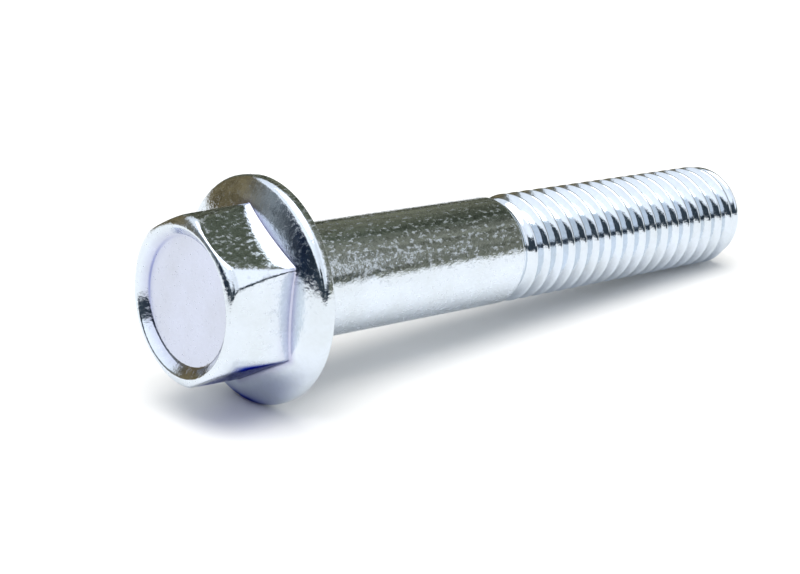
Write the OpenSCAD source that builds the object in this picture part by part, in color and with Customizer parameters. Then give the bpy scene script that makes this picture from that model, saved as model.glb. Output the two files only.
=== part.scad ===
// Hexagon flange screw, part threaded, cold headed and thread rolled from one piece of steel wire.
// It lies on the rim of its flange and on the last thread before its point.
// Millimetres. X runs from the head to the point, Z is up and the floor is Z = 0.
// The origin is the middle of the footprint.

/* [Shank and thread] */
// Outside diameter of the thread, and of the plain shank
thread_d = 6; // [5.4:0.1:6.6]
// Distance from one crest of the thread to the next
pitch = 1; // [0.8:0.05:1.2]
// Length from the bearing face under the flange to the point
screw_len = 35; // [28:0.5:50]
// Plain shank from the bearing face to the foot of its shoulder
shank_len = 15.9; // [6:0.1:22]
// Length of the tapered shoulder at the end of the shank
shoulder_len = 0.5; // [0.3:0.05:1]
// Length over which the thread grows out of the blank next to the shoulder
run_out_len = 1.2; // [0.6:0.1:2]
// Diameter of the flat end at the point
tip_d = 5; // [4.5:0.1:5.2]
// Length of the chamfer at the point
tip_len = 0.9; // [0.5:0.1:1.5]
// Round between the shank and the bearing face
neck_round = 0.35; // [0.2:0.05:0.5]

/* [Flange] */
// Outside diameter of the flange
flange_d = 11.6; // [10.8:0.1:13]
// Straight part of the flange's rim
rim_wall = 0.28; // [0.2:0.04:0.8]
// Round of the rim on the bearing side
rim_low_round = 0.15; // [0.1:0.05:0.3]
// Round of the rim on the head side
rim_top_round = 0.4; // [0.25:0.05:0.5]
// Slope of the flange's domed upper face next to its rim, in degrees
flange_slope = 28; // [22:1:32]
// Radius of the dome, seen in section
dome_r = 6; // [5:0.5:12]

/* [Hexagon] */
// Width across the flats
across_flats = 8; // [7.6:0.1:8.4]
// Height of the head from the bearing face
head_h = 5; // [4.4:0.05:6]
// Diameter of the hexagon's rounded corners at their foot
corner_d = 9.3; // [9:0.05:9.4]
// Diameter of the hexagon's rounded corners below their top round
corner_top_d = 8.68; // [8.5:0.02:8.9]
// Round from the corners over to the top
top_round = 0.6; // [0.4:0.05:0.7]
// Diameter of the dish in the top, at its edge
dish_d = 7.55; // [6.6:0.05:7.55]
// Diameter of the flat floor of the dish
dish_floor_d = 6.5; // [5.5:0.1:6.5]
// Depth of the dish
dish_depth = 0.45; // [0.2:0.05:0.8]

/* [Lie] */
// Turn of the screw about its own length, away from a corner of the hexagon straight up, in degrees
lie_turn = 1.8; // [0:0.1:60]

/* [Hidden] */
thread_r = thread_d / 2;
tip_r = tip_d / 2;
flange_r = flange_d / 2;
// Rolled profile: flat crests an eighth of the pitch wide between flanks at sixty degrees
thread_depth = 0.6134 * pitch;
root_r = thread_r - thread_depth;
blank_r = thread_r - thread_depth / 2;
shoulder_r = blank_r + 0.06;
crest_half = pitch / 16;
root_half = pitch / 2 - crest_half - thread_depth * tan(30);
// Columns round the thread, and rows for each turn of it
columns = 40;
rows = 4;
// The blank of the thread starts inside the shank
thread_from = shank_len - pitch;
turns = ceil((screw_len - thread_from) / pitch) + 2;
// Heights in the head, measured from the bearing face towards the point
rim_low_z = -rim_low_round;
rim_top_z = rim_low_z - rim_wall;
slope_r = flange_r - rim_top_round + rim_top_round * sin(flange_slope);
slope_z = rim_top_z - rim_top_round * cos(flange_slope);
// Middle of the dome's section, which runs on smoothly from the round of the rim
dome_mid_r = flange_r - rim_top_round - (dome_r - rim_top_round) * sin(flange_slope);
dome_mid_z = rim_top_z + (dome_r - rim_top_round) * cos(flange_slope);
// Height at which the corners of the hexagon stand on the dome
foot_z = dome_mid_z - sqrt(pow(dome_r, 2) - pow(corner_d / 2 - dome_mid_r, 2));
// Resting tilt: a line that touches the low round of the rim and the thread where the chamfer starts
rest_drop = flange_r - rim_low_round - thread_r;
rest_run = screw_len - tip_len + rim_low_round;
tilt = atan(rest_drop / rest_run) + asin(rim_low_round / norm([rest_drop, rest_run]));
rest_z = (flange_r - rim_low_round) * cos(tilt) + rim_low_round + rim_low_z * sin(tilt);
// Ends of the screw along X as it lies, from the middle of the bearing face
head_end_x = (top_round - head_h) * cos(tilt) - (corner_top_d / 2 - top_round) * sin(tilt) - top_round;
tip_end_x = screw_len * cos(tilt) + tip_r * sin(tilt);

// Height of a point of the thread's strip: column i of a turn, row j counted along the screw
function strip_z(i, j) =
    thread_from + pitch * (floor(j / rows) - 2 + i / columns)
    + [-crest_half, crest_half, pitch / 2 - root_half, pitch / 2 + root_half][j % rows];

// How far the thread has grown out of the blank at a height
function grown(z) = max(0, min(1, (z - shank_len - 0.1) / run_out_len));

// Radius that the chamfer leaves at a height
function chamfer_r(z) = tip_r + (thread_r - tip_r) * max(0, screw_len - z) / tip_len;

// Radius of the thread in row j at a height
function strip_r(j, z) =
    min(chamfer_r(z), blank_r + grown(z) * ((j % rows < 2 ? thread_r : root_r) - blank_r));

// First and last rows of column i that stand between the two ends of the thread
function first_row(i) = max([for (j = [0 : rows * turns]) if (strip_z(i, j) <= thread_from) j]);
function last_row(i) = min([for (j = [0 : rows * (turns + 3)]) if (strip_z(i, j) >= screw_len) j]);

module dished_hexagon() {
    difference() {
        intersection() {
            translate([0, 0, -head_h])
                cylinder(h = head_h - 0.5, d = across_flats / cos(30), $fn = 6);
            rotate_extrude($fn = 96) {
                polygon([
                    [0, -0.5],
                    [corner_d / 2, -0.5],
                    [corner_d / 2, foot_z],
                    [corner_top_d / 2, top_round - head_h],
                    [corner_top_d / 2 - top_round, -head_h],
                    [0, -head_h]
                ]);
                translate([corner_top_d / 2 - top_round, top_round - head_h])
                    circle(r = top_round, $fn = 48);
            }
        }
        translate([0, 0, -head_h - 0.01])
            cylinder(h = dish_depth + 0.01, d1 = dish_d, d2 = dish_floor_d, $fn = 96);
    }
}

module flange() {
    rotate_extrude($fn = 96) {
        intersection() {
            polygon([
                [0, 0],
                [flange_r - rim_low_round, 0],
                [flange_r, rim_low_z],
                [flange_r, rim_top_z],
                [slope_r, slope_z],
                [slope_r, -head_h / 2],
                [0, -head_h / 2]
            ]);
            translate([dome_mid_r, dome_mid_z])
                circle(r = dome_r, $fn = 240);
        }
        translate([flange_r - rim_low_round, rim_low_z])
            circle(r = rim_low_round, $fn = 48);
        translate([flange_r - rim_top_round, rim_top_z])
            circle(r = rim_top_round, $fn = 48);
    }
}

module shank() {
    rotate_extrude($fn = 96)
        polygon([
            [0, -0.3],
            [thread_r, -0.3],
            [thread_r, shank_len - shoulder_len],
            [shoulder_r, shank_len],
            [0, shank_len]
        ]);
    // Round under the head
    rotate_extrude($fn = 96)
        difference() {
            translate([thread_r - 0.3, -0.3])
                square([neck_round + 0.3, neck_round + 0.3]);
            translate([thread_r + neck_round, neck_round])
                circle(r = neck_round, $fn = 48);
        }
}

module rolled_thread() {
    first = [for (i = [0 : columns - 1]) first_row(i)];
    last = [for (i = [0 : columns - 1]) last_row(i)];
    count = rows * (turns + 3) + 1;
    spots = [
        for (i = [0 : columns - 1])
            for (j = [0 : count - 1])
                let (z = max(thread_from, min(screw_len, strip_z(i, j))), r = strip_r(j, z))
                    [r * cos(360 * i / columns), r * sin(360 * i / columns), z]
    ];
    // Beyond either end of the thread a row closes onto the end ring of its column.
    // A turn on, column 0 carries on from the last column one turn of rows higher.
    squares = [
        for (i = [0 : columns - 1])
            for (j = [0 : count - 1 - rows])
                let (
                    k = (i + 1) % columns,
                    s = i + 1 == columns ? rows : 0,
                    low = i * count + max(first[i], min(last[i], j)),
                    high = i * count + max(first[i], min(last[i], j + 1)),
                    next_low = k * count + max(first[k], min(last[k], j + s)),
                    next_high = k * count + max(first[k], min(last[k], j + s + 1))
                )
                    [low, high, next_high, next_low]
    ];
    skin = [
        for (q = squares)
            for (t = [[q[0], q[1], q[2]], [q[0], q[2], q[3]]])
                if (t[0] != t[1] && t[1] != t[2] && t[0] != t[2]) t
    ];
    base = [for (i = [0 : columns - 1]) i * count + first[i]];
    point = [for (i = [columns - 1 : -1 : 0]) i * count + last[i]];
    polyhedron(points = spots, faces = concat([base, point], skin));
}

module flange_screw() {
    color([0.69, 0.75, 0.82])
        translate([-(head_end_x + tip_end_x) / 2, 0, rest_z])
            rotate([0, 90 + tilt, 0])
                rotate([0, 0, lie_turn]) {
                    dished_hexagon();
                    flange();
                    shank();
                    rolled_thread();
                }
}

flange_screw();
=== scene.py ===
import math
import bpy
import numpy as np
from mathutils import Matrix, Vector


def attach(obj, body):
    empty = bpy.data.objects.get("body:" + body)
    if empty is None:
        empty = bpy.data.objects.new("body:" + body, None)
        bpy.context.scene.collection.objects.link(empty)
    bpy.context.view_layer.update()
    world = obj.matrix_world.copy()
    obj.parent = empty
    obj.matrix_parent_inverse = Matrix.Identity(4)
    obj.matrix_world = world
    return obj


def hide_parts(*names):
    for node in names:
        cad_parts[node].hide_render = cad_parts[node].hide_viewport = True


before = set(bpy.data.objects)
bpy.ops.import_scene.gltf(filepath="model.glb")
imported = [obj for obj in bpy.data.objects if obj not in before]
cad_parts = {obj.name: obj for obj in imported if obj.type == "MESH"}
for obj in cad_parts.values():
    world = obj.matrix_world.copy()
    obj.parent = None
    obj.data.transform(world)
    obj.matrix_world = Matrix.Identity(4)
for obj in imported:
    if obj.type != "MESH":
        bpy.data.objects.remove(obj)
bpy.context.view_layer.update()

# The screw: one piece of steel wire, cold headed into a flange and a dished hexagon.
# Its thread is rolled, not cut, and the whole is zinc plated, bright with a faint blue cast.
# It lies on the rim of the flange and on the last crest of the thread.

# Sizes are millimetres. Lengths along the screw start at the bearing face, and the point is positive.
MM = 0.001

flange_r = 5.80
rim_low_round = 0.15
rim_top_round = 0.40
rim_wall = 0.28
flange_slope = 28
dome_r = 6.0

flat_r = 4.0
ridge_round = 0.22
corner_r = 4.62
corner_top_r = 4.34
corner_blend = 0.10
head_h = 5.0
top_round = 0.6
foot_round = 0.10

dish_r = 3.775
dish_floor_r = 3.25
dish_depth = 0.45
dish_wall_turn = 46
dish_edge_round = 0.2
dish_edge_outset = 0.025
dish_floor_round = 0.3
dish_floor_inset = 0.12

shank_r = 3.0
shank_len = 15.9
shoulder_len = 0.34
shoulder_round = 0.12
shoulder_turn = 48
neck_round = 0.35

pitch = 1.0
screw_len = 35.0
thread_depth = 0.6134 * pitch
blank_r = shank_r - thread_depth / 2
thread_from = shank_len + 0.06
run_out_len = 0.8
tip_r = 2.5
tip_len = 0.9
tip_round = 0.12

# Columns round the screw, closer together at the six ridges of the hexagon
sector = 32
crowding = 0.72
steps = np.arange(sector) / sector
steps = steps - crowding * np.sin(2 * np.pi * steps) / (2 * np.pi)
angle = np.concatenate([(k + steps) * np.pi / 3 for k in range(6)])
columns = len(angle)


def arc(r, u, size, start, end, count):
    """Points of a round in the (radius, length) plane, its centre left out."""
    turn = np.radians(np.linspace(start, end, count))
    return [(r + size * math.cos(a), u + size * math.sin(a)) for a in turn]


def soft_min(r, limit):
    """The smaller of two radii in every column, with the edge between them eased."""
    r = np.full(columns, r)
    h = np.clip(0.5 + 0.5 * (limit - r) / corner_blend, 0, 1)
    return limit * (1 - h) + r * h - corner_blend * h * (1 - h)


# The hexagon in plan, its six ridges slightly rounded as the die leaves them
off_ridge = np.abs((angle + np.pi / 6) % (np.pi / 3) - np.pi / 6)
round_at = (flat_r - ridge_round) / math.cos(math.pi / 6)
round_ends = math.atan2(ridge_round / 2, round_at + ridge_round * math.cos(math.pi / 6))
on_round = np.minimum(off_ridge, round_ends)
hexagon = np.where(
    off_ridge < round_ends,
    round_at * np.cos(on_round) + np.sqrt(ridge_round**2 - (round_at * np.sin(on_round)) ** 2),
    flat_r / np.cos(np.pi / 6 - off_ridge),
)

# Rings from the middle of the dish outwards, over the head and down to the shank.
# Each ring is a radius and a length for every column.
rings = []


def plain_rings(points):
    for r, u in points:
        rings.append((np.full(columns, r), np.full(columns, u)))


# The dish: a flat floor, a round up to its wall, and a round from the wall over to the top
top = -head_h
dish_floor = top + dish_depth
plain_rings([(r, dish_floor) for r in (0.6, 1.4, 2.1, 2.6, 2.8)])
dish_round_ring = len(rings)
floor_mid_r = dish_floor_r - dish_floor_inset
floor_mid_u = dish_floor - dish_floor_round
plain_rings(arc(floor_mid_r, floor_mid_u, dish_floor_round, 90, dish_wall_turn, 7))
dish_rings = len(rings)
edge_mid_r = dish_r + dish_edge_outset
edge_mid_u = top + dish_edge_round
plain_rings(arc(edge_mid_r, edge_mid_u, dish_edge_round, 180 + dish_wall_turn, 270, 8))

# The section of the flange: a dome that runs on smoothly from the round of the rim
slope = math.radians(flange_slope)
rim_low_u = -rim_low_round
rim_top_u = rim_low_u - rim_wall
slope_r = flange_r - rim_top_round + rim_top_round * math.sin(slope)
dome_mid_r = flange_r - rim_top_round - (dome_r - rim_top_round) * math.sin(slope)
dome_mid_u = rim_top_u + (dome_r - rim_top_round) * math.cos(slope)

# Side of the hexagon: the flats, cut back by the round top and the slightly tapered blank
side_top = top + top_round
for r, u in arc(corner_top_r - top_round, side_top, top_round, -82, 0, 21):
    rings.append((soft_min(r, hexagon), np.full(columns, u)))
foot_mid_r = soft_min(corner_r, hexagon) + foot_round
foot_mid_u = dome_mid_u - np.sqrt((dome_r + foot_round) ** 2 - (foot_mid_r - dome_mid_r) ** 2)
side_ring = len(rings)
for part in (0.03, 0.1, 0.25, 0.5, 0.75, 0.9, 0.97):
    u = side_top * (1 - part) + foot_mid_u * part
    blank = corner_top_r + (corner_r - corner_top_r) * part
    rings.append((soft_min(blank, hexagon), u))

# Small round at the foot of the hexagon, the dome of the flange and its rim
foot_ring = len(rings)
foot_end = np.arctan2(dome_mid_u - foot_mid_u, dome_mid_r - foot_mid_r)
for part in np.linspace(0, 1, 6):
    turn = np.pi + (foot_end - np.pi) * part
    rings.append((foot_mid_r + foot_round * np.cos(turn), foot_mid_u + foot_round * np.sin(turn)))
dome_ring = len(rings)
foot_out_r = rings[-1][0]
for part in (0.05, 0.15, 0.3, 0.45, 0.6, 0.75, 0.88, 0.97):
    r = foot_out_r * (1 - part) + slope_r * part
    rings.append((r, dome_mid_u - np.sqrt(dome_r**2 - (r - dome_mid_r) ** 2)))
plain_rings(arc(flange_r - rim_top_round, rim_top_u, rim_top_round, flange_slope - 90, 0, 9))
plain_rings(arc(flange_r - rim_low_round, rim_low_u, rim_low_round, 0, 90, 6))

# The bearing face, the round under the head and the plain shank
plain_rings([(r, 0.0) for r in (5.6, 4.9, 4.1, 3.5)])
plain_rings(arc(shank_r + neck_round, neck_round, neck_round, 270, 180, 7))
plain_rings([(shank_r, u) for u in (0.5, 2.0, 5.0, 8.0, 11.0, 14.0, 15.2)])

# Shoulder down to the blank that the thread is rolled on
shoulder_from = shank_len - shoulder_len
plain_rings(arc(shank_r - shoulder_round, shoulder_from, shoulder_round, 0, shoulder_turn, 7))
plain_rings([
    (blank_r + 0.03, shank_len - 0.04),
    (blank_r + 0.006, shank_len + 0.01),
    (blank_r, thread_from),
])
thread_start = len(rings) - 1

# Flat end at the point, with the edge of its chamfer softened
thread_end = screw_len - tip_round
plain_rings([(tip_r + (shank_r - tip_r) * tip_round / tip_len, thread_end)])
plain_rings(arc(tip_r - tip_round, thread_end, tip_round, 20, 90, 5))
plain_rings([(r, screw_len) for r in (2.2, 1.5, 0.7)])

spots = []
for r, u in rings:
    spots.extend(zip(r * np.cos(angle), r * np.sin(angle), u))
faces = []


def band(a, b):
    for i in range(columns):
        k = (i + 1) % columns
        faces.append((a * columns + i, a * columns + k, b * columns + k, b * columns + i))


for ring in range(thread_start):
    band(ring, ring + 1)
for ring in range(thread_start + 1, len(rings) - 1):
    band(ring, ring + 1)

# The thread: rows that follow the helix, so that each turn carries on from the one before.
# A row is a part of the pitch and a radius. Rolling leaves the crests and the roots a little round.
rolled = [
    (-0.022, 3.000), (0.022, 3.000), (0.062, 2.988), (0.100, 2.950), (0.245, 2.708),
    (0.385, 2.465), (0.420, 2.415), (0.460, 2.391), (0.500, 2.387), (0.540, 2.391),
    (0.580, 2.415), (0.615, 2.465), (0.755, 2.708), (0.900, 2.950), (0.938, 2.988),
]
# A row this close to either end of the thread joins the ring there
join = 0.005
per_turn = len(rolled)
turns = int(math.ceil((thread_end - thread_from) / pitch)) + 5
thread_rows = []
for turn in range(turns):
    for at, r in rolled:
        u = shank_len + pitch * (turn - 2 + at) + pitch * angle / (2 * np.pi)
        grown = np.clip((u - thread_from) / run_out_len, 0, 1)
        grown = grown * grown * (3 - 2 * grown)
        chamfer = tip_r + (shank_r - tip_r) * np.maximum(0, screw_len - u) / tip_len
        size = np.minimum(blank_r + grown * (r - blank_r), chamfer)
        row = np.zeros(columns, dtype=int)
        for i in range(columns):
            if u[i] <= thread_from + join:
                row[i] = thread_start * columns + i
            elif u[i] >= thread_end - join:
                row[i] = (thread_start + 1) * columns + i
            else:
                row[i] = len(spots)
                spots.append((size[i] * math.cos(angle[i]), size[i] * math.sin(angle[i]), u[i]))
        thread_rows.append(row)
for j in range(len(thread_rows) - 1 - per_turn):
    for i in range(columns):
        k, jump = (i + 1, 0) if i + 1 < columns else (0, per_turn)
        low, high = thread_rows[j], thread_rows[j + 1]
        next_low, next_high = thread_rows[j + jump], thread_rows[j + jump + 1]
        corners = (low[i], next_low[k], next_high[k], high[i])
        face = [int(c) for n, c in enumerate(corners) if c != corners[n - 1]]
        if len(set(face)) == len(face) and len(face) > 2:
            faces.append(face)

# The middle of the dish and of the flat end
dish_middle = len(spots)
spots.append((0, 0, dish_floor))
end_middle = len(spots)
spots.append((0, 0, screw_len))
last = (len(rings) - 1) * columns
for i in range(columns):
    k = (i + 1) % columns
    faces.append((dish_middle, k, i))
    faces.append((end_middle, last + i, last + k))

# It lies as it comes to rest: tilted about the touching line, with a ridge almost straight up
tilt = math.radians(4.674473)
lie_turn = math.radians(1.8)
bearing_middle = Vector((-14.89858, 0, 5.76898)) * MM
lie = np.array(
    Matrix.Translation(bearing_middle)
    @ Matrix.Rotation(math.pi / 2 + tilt, 4, "Y")
    @ Matrix.Rotation(lie_turn, 4, "Z")
    @ Matrix.Scale(MM, 4)
)
spots = np.array(spots, dtype=float) @ lie[:3, :3].T + lie[:3, 3]

mesh = bpy.data.meshes.new("flange_screw_form")
mesh.from_pydata([tuple(p) for p in spots], [], faces)
mesh.validate()
mesh.update()
for face in mesh.polygons:
    face.use_smooth = True

# Painted shade: the colour is darker and more lavender in the dish, and in the corner at the hexagon's
# foot it is a painted reflection of the flange
dish_painted_shade = 0.6
foot_painted_reflection = (0.1, 0.5, 0.8, 1, 1, 1, 1, 1, 1, 0.8, 0.4)
painted_shade = np.zeros(len(spots), dtype=np.float32)
painted_shade[: dish_rings * columns] = dish_painted_shade
painted_shade[dish_middle] = dish_painted_shade
for ring, amount in enumerate(foot_painted_reflection, foot_ring - 3):
    painted_shade[ring * columns : (ring + 1) * columns] = amount
mesh.attributes.new("painted_shade", "FLOAT", "POINT").data.foreach_set("value", painted_shade)

# Painted shade in dark blue: on the flat that faces down to the front and on the lowest part of the
# flange it is a painted reflection of the shadow where the flange touches the floor, and in the corner
# of the dish towards the back it is painted shade.
# Angles are degrees round the screw, from about straight down, with the front at 270.
# Each painted patch has an amount for every ring, from the first ring it covers.
painted_flat_angle = 330
painted_flat_half = 30.5
painted_flat_fade = 3
flat_painted_shade = (0.3, 0.6, 1, 1, 0.9, 0.5, 0.3, 0.25, 0.2, 0.15, 0.1, 0.05)
painted_low_half = 17
flange_painted_shade = (0.1, 0.1, 0.1, 0.15, 0.2, 0.3, 0.5, 0.8, 1, 1, 1, 1, 1, 1, 1, 0.9, 0.6)
painted_back_angle = 100
painted_back_half = 45
dish_corner_painted_shade = (0.15, 0.4, 0.6, 0.6, 0.45, 0.25, 0.1)
around = np.degrees(angle)
off_flat = np.abs(around - painted_flat_angle)
on_painted_flat = np.clip((painted_flat_half - off_flat) / painted_flat_fade, 0, 1)
off_lowest = np.abs((around + 180) % 360 - 180)
toward_lowest = np.exp(-((off_lowest / painted_low_half) ** 2))
off_back = np.abs(around - painted_back_angle)
toward_back = np.exp(-((off_back / painted_back_half) ** 2))
blue = np.zeros(len(spots), dtype=np.float32)
for ring, amount in enumerate(flat_painted_shade, side_ring):
    blue[ring * columns : (ring + 1) * columns] = amount * on_painted_flat
for ring, amount in enumerate(flange_painted_shade, dome_ring):
    blue[ring * columns : (ring + 1) * columns] = amount * toward_lowest
for ring, amount in enumerate(dish_corner_painted_shade, dish_round_ring):
    blue[ring * columns : (ring + 1) * columns] = amount * toward_back
mesh.attributes.new("blue", "FLOAT", "POINT").data.foreach_set("value", blue)

screw = bpy.data.objects.new("zinc_flange_screw", mesh)
bpy.context.scene.collection.objects.link(screw)
even = screw.modifiers.new("even_flats", "WEIGHTED_NORMAL")
even.mode = "FACE_AREA"
even.weight = 50

zinc = bpy.data.materials.new("bright_zinc_plate")
zinc.use_nodes = True
nodes, links = zinc.node_tree.nodes, zinc.node_tree.links
nodes.clear()
out = nodes.new("ShaderNodeOutputMaterial")
plate = nodes.new("ShaderNodeBsdfPrincipled")
plate.inputs["Metallic"].default_value = 1.0
links.new(plate.outputs["BSDF"], out.inputs["Surface"])
where = nodes.new("ShaderNodeTexCoord")


def cloud(per_mm, detail, roughness, stretch):
    """Mottling of the plate: marks per millimetre, drawn out along the screw by stretch."""
    drawn = nodes.new("ShaderNodeMapping")
    drawn.inputs["Scale"].default_value = (1 / stretch, 1, 1)
    links.new(where.outputs["Object"], drawn.inputs["Vector"])
    noise = nodes.new("ShaderNodeTexNoise")
    noise.inputs["Scale"].default_value = per_mm / MM
    noise.inputs["Detail"].default_value = detail
    noise.inputs["Roughness"].default_value = roughness
    links.new(drawn.outputs["Vector"], noise.inputs["Vector"])
    return noise.outputs["Fac"]


patches = cloud(0.45, 3, 0.55, 1)
grains = cloud(4.6, 3, 0.62, 1.7)
pits = cloud(11.0, 3, 0.6, 1)

# Colour: a slow drift of the blue cast, faint dark flecks, the painted shade and the painted dark blue
# shade
tint = nodes.new("ShaderNodeValToRGB")
tint.color_ramp.elements[0].position = 0.30
tint.color_ramp.elements[0].color = (0.66, 0.717, 0.774, 1)
tint.color_ramp.elements[1].position = 0.70
tint.color_ramp.elements[1].color = (0.718, 0.785, 0.876, 1)
links.new(patches, tint.inputs["Fac"])
speck = nodes.new("ShaderNodeValToRGB")
speck.color_ramp.elements[0].position = 0.35
speck.color_ramp.elements[0].color = (0.62, 0.62, 0.60, 1)
speck.color_ramp.elements[1].position = 0.60
speck.color_ramp.elements[1].color = (1, 1, 1, 1)
links.new(grains, speck.inputs["Fac"])
fleck = nodes.new("ShaderNodeMix")
fleck.data_type = "RGBA"
fleck.blend_type = "MULTIPLY"
fleck.inputs["Factor"].default_value = 0.12
links.new(tint.outputs["Color"], fleck.inputs["A"])
links.new(speck.outputs["Color"], fleck.inputs["B"])
# Painted shade: reads the darkening painted in the dish and at the hexagon's foot, and multiplies the
# colour by a lavender grey
painted_shade_node = nodes.new("ShaderNodeAttribute")
painted_shade_node.attribute_name = "painted_shade"
painted_shade_mix = nodes.new("ShaderNodeMix")
painted_shade_mix.data_type = "RGBA"
painted_shade_mix.blend_type = "MULTIPLY"
painted_shade_mix.inputs["B"].default_value = (0.72, 0.68, 0.79, 1)
links.new(painted_shade_node.outputs["Fac"], painted_shade_mix.inputs["Factor"])
links.new(fleck.outputs["Result"], painted_shade_mix.inputs["A"])
# Painted shade: reads the dark blue painted under the head, on the flange's lowest part and in the
# dish's back corner, and tints both the colour and the reflections with it
painted_blue_node = nodes.new("ShaderNodeAttribute")
painted_blue_node.attribute_name = "blue"
painted_blue_mix = nodes.new("ShaderNodeMix")
painted_blue_mix.data_type = "RGBA"
painted_blue_mix.inputs["A"].default_value = (1, 1, 1, 1)
painted_blue_mix.inputs["B"].default_value = (0.07, 0.11, 0.50, 1)
links.new(painted_blue_node.outputs["Fac"], painted_blue_mix.inputs["Factor"])
links.new(painted_blue_mix.outputs["Result"], plate.inputs["Specular Tint"])
base_with_painted_shade = nodes.new("ShaderNodeMix")
base_with_painted_shade.data_type = "RGBA"
base_with_painted_shade.blend_type = "MULTIPLY"
base_with_painted_shade.inputs["Factor"].default_value = 1.0
links.new(painted_shade_mix.outputs["Result"], base_with_painted_shade.inputs["A"])
links.new(painted_blue_mix.outputs["Result"], base_with_painted_shade.inputs["B"])
links.new(base_with_painted_shade.outputs["Result"], plate.inputs["Base Color"])

# How grainy the plate is along X: the shank most, the hexagon next, then the flange and the thread.
# A stop is a part of the way from grain_from to grain_to, and an amount.
grain_from = -20 * MM
grain_to = 20 * MM
grain_stops = [(0.07, 0.33), (0.09, 0.25), (0.12, 0.25), (0.135, 0.40), (0.515, 0.40), (0.535, 0.15)]
axes = nodes.new("ShaderNodeSeparateXYZ")
links.new(where.outputs["Object"], axes.inputs[0])
place = nodes.new("ShaderNodeMapRange")
place.inputs["From Min"].default_value = grain_from
place.inputs["From Max"].default_value = grain_to
links.new(axes.outputs["X"], place.inputs["Value"])
grain = nodes.new("ShaderNodeValToRGB")
for n, (at, amount) in enumerate(grain_stops):
    stop = grain.color_ramp.elements[n] if n < 2 else grain.color_ramp.elements.new(1.0)
    stop.position = at
    stop.color = (amount, amount, amount, 1)
links.new(place.outputs["Result"], grain.inputs["Fac"])

gloss = nodes.new("ShaderNodeMapRange")
gloss.inputs["From Min"].default_value = 0.48
gloss.inputs["From Max"].default_value = 0.66
gloss.inputs["To Min"].default_value = 0.05
links.new(grain.outputs["Color"], gloss.inputs["To Max"])
links.new(grains, gloss.inputs["Value"])
links.new(gloss.outputs["Result"], plate.inputs["Roughness"])

depth = nodes.new("ShaderNodeMath")
depth.operation = "MULTIPLY"
depth.inputs[1].default_value = 1.7
links.new(grain.outputs["Color"], depth.inputs[0])
skin = nodes.new("ShaderNodeBump")
skin.inputs["Distance"].default_value = 0.02 * MM
links.new(depth.outputs[0], skin.inputs["Strength"])
links.new(grains, skin.inputs["Height"])
fine = nodes.new("ShaderNodeBump")
fine.inputs["Strength"].default_value = 0.25
fine.inputs["Distance"].default_value = 0.008 * MM
links.new(pits, fine.inputs["Height"])
links.new(skin.outputs["Normal"], fine.inputs["Normal"])
links.new(fine.outputs["Normal"], plate.inputs["Normal"])

screw.data.materials.append(zinc)
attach(screw, "root")
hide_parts("flange_screw")

# The floor: a wide sheet of plain white board.
# It shows white, a little whiter than it lights the screw, and keeps the soft shadow.
reach = 4.0
floor_mesh = bpy.data.meshes.new("white_board")
floor_mesh.from_pydata(
    [(-reach, -reach, 0), (reach, -reach, 0), (reach, reach, 0), (-reach, reach, 0)], [], [(0, 1, 2, 3)]
)
floor = bpy.data.objects.new("white_board", floor_mesh)
bpy.context.scene.collection.objects.link(floor)
board = bpy.data.materials.new("white_board")
board.use_nodes = True
nodes, links = board.node_tree.nodes, board.node_tree.links
nodes.clear()
out = nodes.new("ShaderNodeOutputMaterial")
paper = nodes.new("ShaderNodeBsdfDiffuse")
seen = nodes.new("ShaderNodeLightPath")
white = nodes.new("ShaderNodeMix")
white.data_type = "RGBA"
white.inputs["A"].default_value = (0.92, 0.92, 0.92, 1)
white.inputs["B"].default_value = (0.97, 0.97, 0.97, 1)
links.new(seen.outputs["Is Camera Ray"], white.inputs["Factor"])
links.new(white.outputs["Result"], paper.inputs["Color"])
links.new(paper.outputs[0], out.inputs["Surface"])
floor.data.materials.append(board)

# Light: a studio whose walls are lit above a skyline and dim below it.
# The room beyond the point is unlit and cluttered, and a broad soft box hangs overhead.
world = bpy.data.worlds.new("studio")
bpy.context.scene.world = world
world.use_nodes = True
nodes, links = world.node_tree.nodes, world.node_tree.links
nodes.clear()
out = nodes.new("ShaderNodeOutputWorld")
sky = nodes.new("ShaderNodeBackground")
links.new(sky.outputs[0], out.inputs["Surface"])
way = nodes.new("ShaderNodeTexCoord")
parts = nodes.new("ShaderNodeSeparateXYZ")
links.new(way.outputs["Generated"], parts.inputs[0])


def along(axis, stops):
    """Colours, or plain values, by one axis of the direction, from -1 to 1."""
    place = nodes.new("ShaderNodeMapRange")
    place.inputs["From Min"].default_value = -1.0
    place.inputs["From Max"].default_value = 1.0
    links.new(parts.outputs[axis], place.inputs["Value"])
    ramp = nodes.new("ShaderNodeValToRGB")
    for n, (at, colour) in enumerate(stops):
        stop = ramp.color_ramp.elements[n] if n < 2 else ramp.color_ramp.elements.new(1.0)
        stop.position = (at + 1) / 2
        stop.color = (*colour, 1) if isinstance(colour, tuple) else (colour, colour, colour, 1)
    links.new(place.outputs["Result"], ramp.inputs["Fac"])
    return ramp.outputs["Color"]


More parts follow.
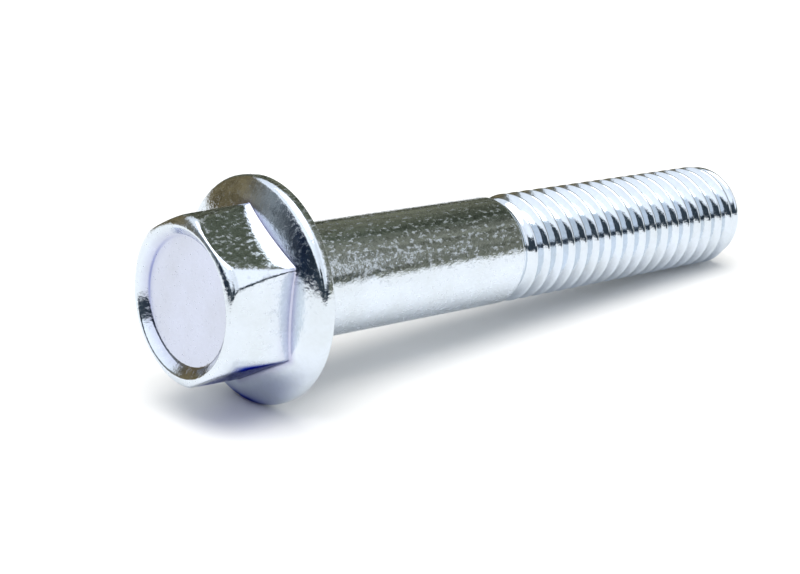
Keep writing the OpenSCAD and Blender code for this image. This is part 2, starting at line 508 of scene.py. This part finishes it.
# Height of the skyline. On the head's side it takes another line to the front.
skyline_soft = 0.025
skyline = along("Y", [(-0.85, 0.20), (-0.35, 0.40), (0.2, 0.43), (0.7, 0.64)])
head_skyline = along("Y", [(-0.78, 0.56), (-0.62, 0.31), (-0.35, 0.40), (0.2, 0.43), (0.7, 0.64)])
front = nodes.new("ShaderNodeMix")
front.data_type = "RGBA"
links.new(along("X", [(-0.38, 0), (-0.22, 1)]), front.inputs["Factor"])
links.new(head_skyline, front.inputs["A"])
links.new(skyline, front.inputs["B"])
over = nodes.new("ShaderNodeMath")
over.operation = "SUBTRACT"
links.new(parts.outputs["Z"], over.inputs[0])
links.new(front.outputs["Result"], over.inputs[1])
rise = nodes.new("ShaderNodeMapRange")
rise.interpolation_type = "SMOOTHSTEP"
rise.inputs["From Min"].default_value = -skyline_soft
rise.inputs["From Max"].default_value = skyline_soft
links.new(over.outputs[0], rise.inputs["Value"])

# The walls: lit above the skyline, dim and uneven below it
lit = along("X", [
    (-0.9, (1.28, 1.33, 1.4)), (-0.3, (1.06, 1.1, 1.16)),
    (0.2, (0.97, 1.01, 1.06)), (0.45, (1.24, 1.27, 1.33)),
])
dim = along("Y", [
    (-0.15, (0.04, 0.055, 0.07)), (0.22, (0.009, 0.018, 0.04)),
    (0.58, (0.23, 0.255, 0.27)), (0.84, (0.18, 0.146, 0.08)),
])
clutter = nodes.new("ShaderNodeTexNoise")
clutter.inputs["Scale"].default_value = 14.0
clutter.inputs["Detail"].default_value = 5.0
clutter.inputs["Roughness"].default_value = 0.72
links.new(way.outputs["Generated"], clutter.inputs["Vector"])
uneven = nodes.new("ShaderNodeValToRGB")
uneven.color_ramp.elements[0].position = 0.40
uneven.color_ramp.elements[0].color = (0.4, 0.4, 0.4, 1)
uneven.color_ramp.elements[1].position = 0.62
uneven.color_ramp.elements[1].color = (1.7, 1.7, 1.7, 1)
links.new(clutter.outputs["Fac"], uneven.inputs["Fac"])
low_wall = nodes.new("ShaderNodeMix")
low_wall.data_type = "RGBA"
low_wall.blend_type = "MULTIPLY"
low_wall.inputs["Factor"].default_value = 1.0
links.new(dim, low_wall.inputs["A"])
links.new(uneven.outputs["Color"], low_wall.inputs["B"])
wall = nodes.new("ShaderNodeMix")
wall.data_type = "RGBA"
links.new(rise.outputs["Result"], wall.inputs["Factor"])
links.new(low_wall.outputs["Result"], wall.inputs["A"])
links.new(lit, wall.inputs["B"])

# The unlit room beyond the point, darker towards the back
beyond = nodes.new("ShaderNodeVectorMath")
beyond.operation = "DOT_PRODUCT"
beyond.inputs[1].default_value = (1.0, 0.3, -0.2)
links.new(way.outputs["Generated"], beyond.inputs[0])
side = nodes.new("ShaderNodeMapRange")
side.interpolation_type = "SMOOTHSTEP"
side.inputs["From Min"].default_value = 0.33
side.inputs["From Max"].default_value = 0.40
links.new(beyond.outputs["Value"], side.inputs["Value"])
unlit = nodes.new("ShaderNodeValToRGB")
unlit.color_ramp.elements[0].position = 0.42
unlit.color_ramp.elements[0].color = (0.007, 0.009, 0.0045, 1)
unlit.color_ramp.elements[1].position = 0.60
unlit.color_ramp.elements[1].color = (0.44, 0.45, 0.355, 1)
links.new(clutter.outputs["Fac"], unlit.inputs["Fac"])
to_back = along("Y", [(-0.2, (1, 1, 1)), (0.08, (0.5, 0.56, 0.5)), (0.5, (0.62, 0.62, 0.55))])
shade = nodes.new("ShaderNodeMix")
shade.data_type = "RGBA"
shade.blend_type = "MULTIPLY"
shade.inputs["Factor"].default_value = 1.0
links.new(unlit.outputs["Color"], shade.inputs["A"])
links.new(to_back, shade.inputs["B"])
room = nodes.new("ShaderNodeMix")
room.data_type = "RGBA"
links.new(side.outputs["Result"], room.inputs["Factor"])
links.new(wall.outputs["Result"], room.inputs["A"])
links.new(shade.outputs["Result"], room.inputs["B"])
links.new(room.outputs["Result"], sky.inputs["Color"])

shines = Vector((0.08, 0.08, -0.99))
lamp = bpy.data.lights.new("soft_box", "SUN")
lamp.energy = 1.77
lamp.color = (1.0, 0.96, 0.89)
lamp.angle = math.radians(56)
lamp_object = bpy.data.objects.new("soft_box", lamp)
bpy.context.scene.collection.objects.link(lamp_object)
lamp_object.rotation_euler = shines.to_track_quat("-Z", "Y").to_euler()

# The camera: in front of the head and above it, at the picture's own angle.
# Its place is measured from the middle of the bearing face.
stands = Vector((-50.782, -67.759, 28.930)) * MM
ahead = Vector((0.627103, 0.708690, -0.323265))
focal_px = 1786.19
picture_px = 800
camera = bpy.data.cameras.new("camera")
camera.sensor_width = 36
camera.lens = camera.sensor_width * focal_px / picture_px
camera.clip_start = 0.002
camera.clip_end = 20
camera_object = bpy.data.objects.new("camera", camera)
bpy.context.scene.collection.objects.link(camera_object)
camera_object.location = bearing_middle + stands
camera_object.rotation_euler = ahead.to_track_quat("-Z", "Y").to_euler()
bpy.context.scene.camera = camera_object

bpy.context.scene.view_settings.view_transform = "Standard"
